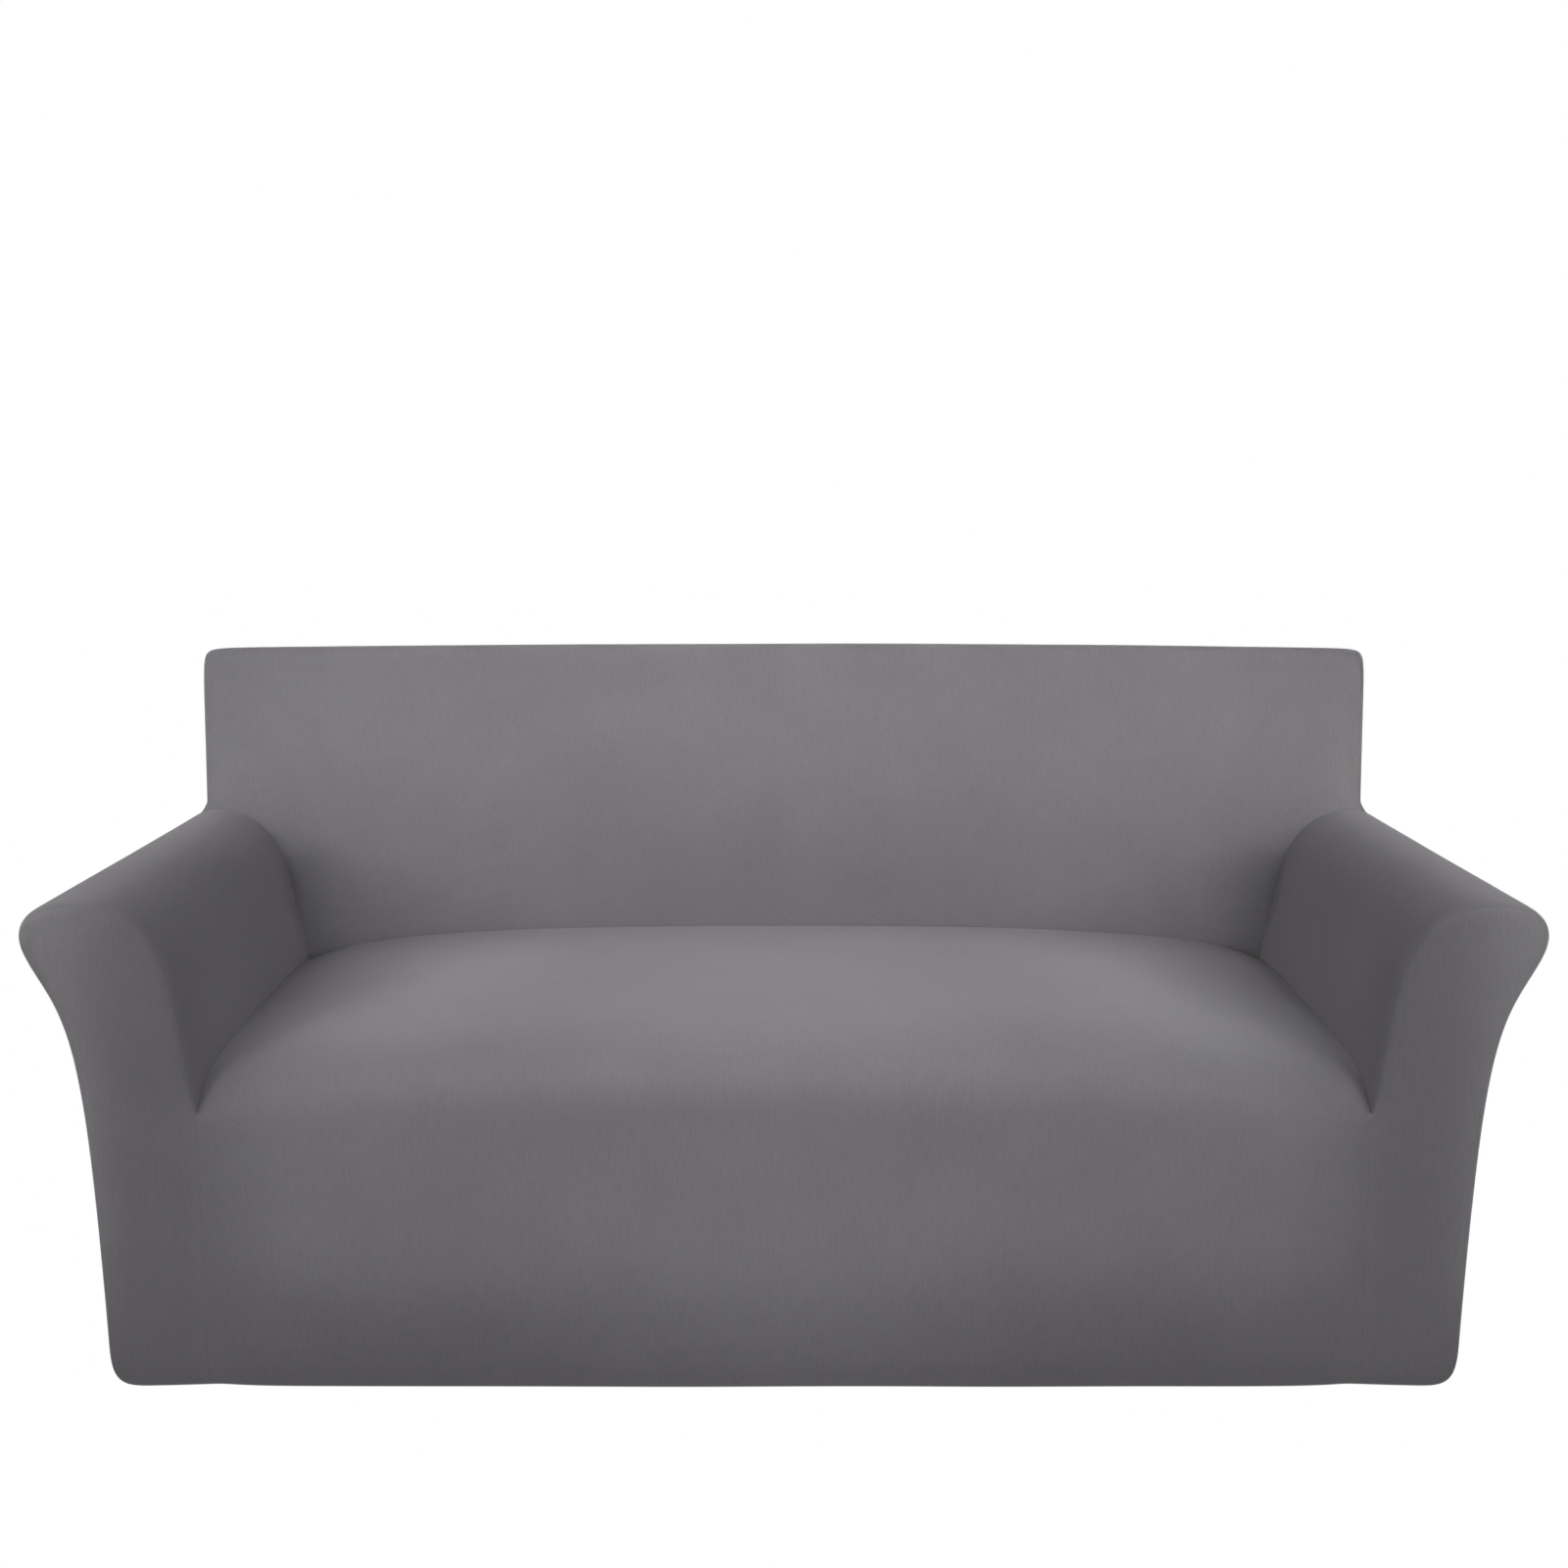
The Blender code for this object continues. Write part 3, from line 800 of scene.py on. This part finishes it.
def corner_normals(skin, corners):
    """The faces' corner normals: shared across a seam, but each panel's own in a crease."""
    facing = facings(skin.points, corners)
    own = np.zeros_like(skin.points)
    for i in range(4):
        np.add.at(own, corners[:, i], facing)
    own = to_length_one(own)
    smooth = (own * skin.normals).sum(axis=1) > CREASE_COSINE
    return np.where(smooth[:, None], skin.normals, own)


def rim_edges(corners):
    """The panel's outer edges, each as its two points in the faces' own order."""
    pairs = np.vstack([corners[:, [i, (i + 1) % 4]] for i in range(4)])
    pairs = pairs[pairs[:, 0] != pairs[:, 1]]
    known = {(int(a), int(b)) for a, b in pairs}
    return np.array([pair for pair in sorted(known) if pair[::-1] not in known])


def panel_mesh(name, skin, number):
    """One panel as a closed thin shell: the right side, the wrong side behind it, and its edges."""
    chosen = skin.panel == number
    corners = skin.corners[chosen]
    threads = skin.threads[chosen]
    used = np.unique(corners)
    renumber = np.zeros(len(skin.points), int)
    renumber[used] = np.arange(len(used))
    normals = corner_normals(skin, corners)
    right_side = skin.points[used]
    wrong_side = right_side - skin.normals[used] * skin.depth[used][:, None]
    rims = rim_edges(corners)
    near, far = renumber[rims[:, 0]], renumber[rims[:, 1]]
    front = renumber[corners]
    back = front[:, ::-1] + len(used)
    edge = np.column_stack((far, near, near + len(used), far + len(used)))
    points = np.vstack((right_side, wrong_side))
    edge_normals = to_length_one(facings(points, edge))
    faces = np.vstack((front, back, edge))
    loops = [normals[corners], -normals[corners][:, ::-1], np.repeat(edge_normals[:, None], 4, axis=1)]
    edge_threads = np.zeros((len(edge), 4, 2))
    uvs = np.vstack((threads, threads[:, ::-1], edge_threads))
    single = faces[:, 0] == faces[:, 3]
    keep = np.ones(faces.shape, bool)
    keep[single, 3] = False
    mesh = bpy.data.meshes.new(name)
    mesh.from_pydata(points, [], [face[kept].tolist() for face, kept in zip(faces, keep)])
    mesh.uv_layers.new(name="knit").data.foreach_set("uv", uvs[keep].ravel())
    seam = mesh.attributes.new("seam", "FLOAT", "POINT")
    seam.data.foreach_set("value", np.tile(skin.seam_distance[used], 2))
    mesh.shade_smooth()
    mesh.normals_split_custom_set(np.vstack(loops)[keep].tolist())
    return mesh


cut = Skin(skin)
skin.free()

# The grey stretch knit: a fine jersey of polyester and elastane, matt, with a little fuzz that
# catches light at a slant. Its loops are finer than a millimetre, and its yarn is never quite even.

KNIT_GREY = (0.2015, 0.193, 0.203)
FUZZ_TINT = (0.985, 0.945, 1.0, 1.0)
KNIT_FINISH = {
    "Roughness": 0.88,
    "Sheen Weight": 0.18,
    "Sheen Roughness": 0.5,
    "Sheen Tint": FUZZ_TINT,
    "Specular IOR Level": 0.25,
    "Specular Tint": FUZZ_TINT,
}

# The loops, in columns called wales: how wide and how long they are, how far their legs slant as a
# share of that length, the share of their relief that runs across the wales, the relief's height
# and its mean, and how much lighter their tops are painted than the gaps: painted shade that
# follows the relief
WALE = 0.00085
COURSE = 0.00070
LOOP_SLANT = 0.35
COURSE_SHARE = 0.3
LOOP_LIFT = 0.00007
LOOP_MEAN = 0.6
LOOP_SHADE = 0.10

# The uneven yarn shows as streaks along the wales, and as wide patches half as strong
STREAKED = (1.0, 0.18, 1.0)
UNEVEN = {"Scale": 230.0, "Detail": 3.0, "Roughness": 0.6}
PATCHY = {"Scale": 9.0, "Detail": 2.0}
UNEVEN_LIFT = 1.5 * LOOP_LIFT
MOTTLE = 0.10

# The seams: how wide, how deep and how much darker they are painted: painted shade along their groove
SEAM_HALF_WIDTH = 0.0011
SEAM_DIP = 0.00012
SEAM_SHADE = 0.06


class Shade:
    """One value in a material. Arithmetic on it makes the shader's own Math nodes."""

    tree = None

    def __init__(self, socket):
        self.socket = socket

    @classmethod
    def fill(cls, node, sockets):
        """Gives a node's sockets their values and links."""
        for name, value in sockets.items():
            if isinstance(value, Shade):
                cls.tree.links.new(value.socket, node.inputs[name])
            else:
                node.inputs[name].default_value = value

    @classmethod
    def node(cls, kind, settings, sockets, output=0):
        """A node of this type with its settings made first and then its sockets filled."""
        node = cls.tree.nodes.new(kind)
        for setting, value in settings.items():
            setattr(node, setting, value)
        cls.fill(node, sockets)
        return cls(node.outputs[output]) if output is not None else None

    @classmethod
    def math(cls, operation, *values):
        return cls.node("ShaderNodeMath", {"operation": operation}, dict(enumerate(values)))

    def __add__(self, other):
        return self.math("ADD", self, other)

    def __sub__(self, other):
        return self.math("SUBTRACT", self, other)

    def __rsub__(self, other):
        return self.math("SUBTRACT", other, self)

    def __mul__(self, other):
        return self.math("MULTIPLY", self, other)

    def __truediv__(self, other):
        return self.math("DIVIDE", self, other)

    __radd__ = __add__
    __rmul__ = __mul__


def new_material(name):
    """A material that the next nodes are made in."""
    material = bpy.data.materials.new(name)
    material.use_nodes = True
    Shade.tree = material.node_tree
    return material


def knit_material():
    """The knit's loops, uneven yarn and seams, laid along its own two directions."""
    material = new_material("grey_stretch_knit")
    shader = material.node_tree.nodes["Principled BSDF"]
    place = Shade.node("ShaderNodeUVMap", {"uv_map": "knit"}, {})
    across = Shade.node("ShaderNodeSeparateXYZ", {}, {"Vector": place}, 0)
    along = Shade.node("ShaderNodeSeparateXYZ", {}, {"Vector": place}, 1)
    wale = Shade.math("ABSOLUTE", Shade.math("FRACT", across / WALE) - 0.5) * 2.0
    loop = Shade.math("SINE", (along / COURSE + wale * LOOP_SLANT) * (2 * math.pi))
    knit = (1.0 - wale * wale) * (1 - COURSE_SHARE + COURSE_SHARE * loop)
    seam = Shade.node("ShaderNodeAttribute", {"attribute_name": "seam"}, {}, 2)
    from_seam = seam / SEAM_HALF_WIDTH
    dip = Shade.math("EXPONENT", from_seam * from_seam * -1.0)
    streaked = Shade.node("ShaderNodeVectorMath", {"operation": "MULTIPLY"}, {0: place, 1: STREAKED})
    flat = {"noise_dimensions": "2D"}
    uneven = Shade.node("ShaderNodeTexNoise", flat, {"Vector": streaked, **UNEVEN})
    patchy = Shade.node("ShaderNodeTexNoise", flat, {"Vector": place, **PATCHY})
    # The yarn's streaks and patches, and painted shade along the seams' groove
    tone = 1.0 + (uneven - 0.5) * MOTTLE * 2.0 + (patchy - 0.5) * MOTTLE - dip * SEAM_SHADE
    # Painted shade in the loops' gaps, lighter on their tops
    tone = tone + (knit - LOOP_MEAN) * LOOP_SHADE
    colour = Shade.node(
        "ShaderNodeVectorMath", {"operation": "SCALE"}, {0: KNIT_GREY, "Scale": tone}
    )
    height = knit * LOOP_LIFT + uneven * UNEVEN_LIFT - dip * SEAM_DIP
    bump = Shade.node("ShaderNodeBump", {}, {"Strength": 1.0, "Distance": 1.0, "Height": height})
    Shade.fill(shader, {"Base Color": colour, "Normal": bump, **KNIT_FINISH})
    return material


grey_knit = knit_material()

# The hem's stitching. One row of lock stitches in grey polyester thread closes the casing along its
# outer edge, through both layers. It was sewn with the elastic pulled out, so that, let go, the
# stitches crowd together and turn a little this way and that.

# The step from stitch to stitch, half of a stitch's length, width and height, how far it may turn,
# and how much the steps and the lengths vary
STITCH_SEED = 23
STITCH_PITCH = 0.0034
STITCH_SIZE = (0.0013, 0.00030, 0.00022)
STITCH_TURN = math.radians(14)
STITCH_PITCHES = (0.85, 1.15)
STITCH_LENGTHS = (0.8, 1.15)

# The thread: its grey, how dark it is painted between the strands of its twist and how much
# lighter on them, a painted shade that follows the twist's relief, how fine the twist is, how far
# it stands out, and how rough it is
THREAD_GREY = (0.17, 0.165, 0.172)
THREAD_DARK = 0.8
THREAD_LIGHTER = 0.4
THREAD_TWIST = {"Scale": 2500.0, "Detail": 1.0}
THREAD_RELIEF = 0.0001
THREAD_ROUGHNESS = 0.6

# One stitch, a round bead drawn out along the row. A new sphere's faces come in no fixed order, so
# they are sorted
bpy.ops.mesh.primitive_uv_sphere_add(segments=8, ring_count=5, radius=1.0)
stitch = bpy.context.object
stitch_points = np.array([vert.co[:] for vert in stitch.data.vertices])[:, [2, 0, 1]] * STITCH_SIZE
stitch_faces = sorted(tuple(face.vertices) for face in stitch.data.polygons)
bpy.data.objects.remove(stitch, do_unlink=True)


def stitch_row(number):
    """The stitches on one panel's stretch of the hem, as points and faces."""
    draw = np.random.default_rng(STITCH_SEED)
    points, faces = [], []
    place = 0.0
    while place < stitch_around[-1] - 2 * STITCH_PITCH:
        place += STITCH_PITCH * draw.uniform(*STITCH_PITCHES)
        turn = draw.uniform(-STITCH_TURN, STITCH_TURN)
        length = draw.uniform(*STITCH_LENGTHS)
        at_point = int(np.searchsorted(stitch_around, place)) % len(stitch_line)
        if stitch_panel[at_point] != number:
            continue
        near, far = stitch_line[at_point - 1], stitch_line[at_point]
        step = stitch_around[at_point] - (stitch_around[at_point - 1] if at_point else 0.0)
        middle = far + (near - far) * (stitch_around[at_point] - place) / step
        along = (far - near) / np.linalg.norm(far - near)
        aside = np.array((-along[1], along[0], 0.0))
        ahead = along * math.cos(turn) + aside * math.sin(turn)
        aside = aside * math.cos(turn) - along * math.sin(turn)
        turned = np.array((ahead, aside, (0.0, 0.0, 1.0)))
        faces += [tuple(i + len(points) * len(stitch_points) for i in face) for face in stitch_faces]
        points.append(stitch_points * (length, 1.0, 1.0) @ turned + middle)
    return np.vstack(points), faces


def thread_material():
    """The twisted grey thread, with painted shade between its strands."""
    material = new_material("grey_thread")
    shader = material.node_tree.nodes["Principled BSDF"]
    place = Shade.node("ShaderNodeTexCoord", {}, {}, "Object")
    twist = Shade.node("ShaderNodeTexNoise", {}, {"Vector": place, **THREAD_TWIST})
    # Painted shade between the twist's strands, lighter on them
    tone = THREAD_DARK + twist * THREAD_LIGHTER
    colour = Shade.node(
        "ShaderNodeVectorMath", {"operation": "SCALE"}, {0: THREAD_GREY, "Scale": tone}
    )
    bump = Shade.node("ShaderNodeBump", {}, {"Distance": THREAD_RELIEF, "Height": twist})
    Shade.fill(shader, {"Base Color": colour, "Normal": bump, "Roughness": THREAD_ROUGHNESS})
    return material


grey_thread = thread_material()

# The cover as it is sewn. Its seven panels of the knit meet edge to edge in plain seams, and each
# that reaches the hem carries its own stretch of the stitches.

# The piece, the CAD panel that it replaces, and its flat size before it is stretched
CLOTH = {
    "seat_and_skirt_cloth": dict(panel="seat_front", flat=(1.60, 1.18)),
    "inside_back_cloth": dict(panel="inside_back", flat=(1.90, 0.62)),
    "outside_back_cloth": dict(panel="outside_back", flat=(1.86, 0.98)),
    "arm_cloth_left": dict(panel="arm_left", flat=(1.10, 0.95)),
    "arm_cloth_right": dict(panel="arm_right", flat=(1.10, 0.95)),
    "arm_front_cloth_left": dict(panel="arm_front_left", flat=(0.235, 0.80), area=0.105),
    "arm_front_cloth_right": dict(panel="arm_front_right", flat=(0.235, 0.80), area=0.105),
}

for name, sizes in CLOTH.items():
    number = PANELS.index(sizes["panel"])
    mesh = panel_mesh(name, cut, number)
    mesh.materials.append(grey_knit)
    piece = put_in_scene(name, mesh)
    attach(piece, "root")
    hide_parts(sizes["panel"])
    sewn = []
    if number in stitch_panel:
        points, faces = stitch_row(number)
        stitches = bpy.data.meshes.new(name.replace("cloth", "hem_stitches"))
        stitches.from_pydata(points, [], faces)
        stitches.shade_smooth()
        stitches.materials.append(grey_thread)
        sewn = [put_in_scene(stitches.name, stitches)]
        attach(sewn[0], "root")

# The plain white floor and the white room round it. They are seen, but throw no light back, so the
# lights alone shade the cover.

FLOOR_SIZE = 60.0
FLOOR_HEIGHT = -0.002
ROOM_RADIUS = 25.0
WHITE = (1.0, 1.0, 1.0, 1.0)


def plain_white(name):
    """A surface of even brightness, see-through from behind."""
    material = new_material(name)
    material.node_tree.nodes.clear()
    glow = Shade.node("ShaderNodeEmission", {}, {"Color": WHITE, "Strength": 1.0})
    clear = Shade.node("ShaderNodeBsdfTransparent", {}, {})
    behind = Shade.node("ShaderNodeNewGeometry", {}, {}, "Backfacing")
    mixed = Shade.node("ShaderNodeMixShader", {}, {"Fac": behind, 1: glow, 2: clear})
    Shade.node("ShaderNodeOutputMaterial", {}, {"Surface": mixed}, None)
    return material


def only_seen(obj):
    """Leaves the camera to see this, and keeps its light off the cover."""
    obj.visible_diffuse = False
    obj.visible_glossy = False
    obj.visible_transmission = False
    obj.visible_shadow = False


bpy.ops.mesh.primitive_plane_add(size=FLOOR_SIZE, location=(0.0, 0.0, FLOOR_HEIGHT))
floor = bpy.context.object
floor.name = "floor"
floor.data.materials.append(plain_white("white_floor"))
only_seen(floor)

bpy.ops.mesh.primitive_uv_sphere_add(radius=ROOM_RADIUS, segments=48, ring_count=24)
room = bpy.context.object
room.name = "room"
room.data.flip_normals()
room.data.materials.append(plain_white("white_room"))
only_seen(room)

# The lights. Distant suns and the two pairs of side lights, whose light spreads all round, light the
# whole cover. The others are shaded to a narrow beam that falls on one stretch of it, so that the
# inner sides of the arms stay dark and the skirt darkens towards its foot.

# Each lamp's place, what it is aimed at, its size, its spread in degrees and its watts
LAMPS = {
    "middle_top_light": ((0.0, -0.8, 3.2), (0.0, -0.1, 0.5), (0.5, 0.5), 40, 1.961),
    "back_light": ((0.0, -3.0, 1.7), (0.0, 0.25, 0.88), (2.0, 0.25), 12, 0.91),
    "seat_light": ((0.0, 0.1, 3.0), (0.0, -0.05, 0.47), (1.1, 0.45), 10, 0.273),
    "seat_front_light": ((0.0, 0.4, 3.0), (0.0, -0.33, 0.45), (1.7, 0.2), 8, 0.125),
    "skirt_light": ((0.0, -3.2, 0.6), (0.0, -0.47, 0.3), (1.5, 0.3), 6, 0.362),
    "skirt_foot_light": ((0.0, -3.2, 0.3), (0.0, -0.47, 0.14), (0.45, 0.1), 12, 0.046),
}

# The same for lamps that stand on the right and once more, mirrored, on the left
PAIRED_LAMPS = {
    "front_side_light": ((2.8, -2.8, 1.8), (0.0, 0.0, 0.5), (1.2, 1.2), 180, 26.995),
    "top_side_light": ((2.6, -0.4, 2.6), (0.0, 0.0, 0.5), (1.2, 1.2), 180, 10.925),
    "back_end_light": ((1.3, -2.2, 1.6), (0.9, 0.3, 0.82), (0.4, 0.4), 25, 0.216),
    "seat_end_light": ((0.5, 0.1, 3.0), (0.55, -0.15, 0.47), (0.25, 0.5), 8, 0.103),
    "arm_front_light": ((2.2, -2.4, 1.0), (0.96, -0.47, 0.5), (0.2, 0.7), 8, 0.056),
    "arm_edge_light": ((1.0, -3.2, 0.8), (0.98, -0.47, 0.52), (0.08, 0.8), 4, 0.061),
}

# Each distant light's height above the horizon, the directions that it comes from, counted from the
# front, and its width, all in degrees, and its strength
SUNS = {
    "front_sun": (5, (0,), 18, 0.654),
    "high_sun": (60, (-90, 90), 30, 0.23),
    "under_sun": (-90, (0,), 40, 0.7),
    "rear_sun": (10, (-125, 125), 14, 1.182),
}


def add_light(name, light, direction, place=(0.0, 0.0, 0.0)):
    """A light that shines in this direction."""
    lamp = put_in_scene(name, light)
    lamp.location = place
    lamp.rotation_euler = Vector(direction).to_track_quat("-Z", "Y").to_euler()


def soft_box(name, place, aim, size, spread, watts):
    """A lamp with a flat, evenly lit front, aimed at a point."""
    light = bpy.data.lights.new(name, "AREA")
    light.shape = "RECTANGLE"
    light.size, light.size_y = size
    light.spread = math.radians(spread)
    light.energy = watts
    add_light(name, light, Vector(aim) - Vector(place), place)


for name, lamp in LAMPS.items():
    soft_box(name, *lamp)
for name, (place, aim, *lamp) in PAIRED_LAMPS.items():
    for side, end in ((-1, "_left"), (1, "_right")):
        soft_box(name + end, (side * place[0], *place[1:]), (side * aim[0], *aim[1:]), *lamp)
for name, (height, directions, width, strength) in SUNS.items():
    for around in directions:
        sun = bpy.data.lights.new(name, "SUN")
        sun.angle = math.radians(width)
        sun.energy = strength
        up, turn = math.radians(height), math.radians(around)
        level = math.cos(up)
        add_light(name, sun, (-math.sin(turn) * level, math.cos(turn) * level, -math.sin(up)))

# The camera. It stands square to the cover's front and looks a little down on it.

CAMERA_PLACE = (0.0, -2.8252, 1.2285)
DEGREES_DOWN = 9.31
LENS_MM = 42.66
SENSOR_MM = 36.0

camera = put_in_scene("camera", bpy.data.cameras.new("camera"))
camera.location = CAMERA_PLACE
camera.rotation_euler = (math.radians(90 - DEGREES_DOWN), 0.0, 0.0)
camera.data.lens = LENS_MM
camera.data.sensor_width = SENSOR_MM
bpy.context.scene.camera = camera
bpy.context.scene.view_settings.view_transform = "Standard"
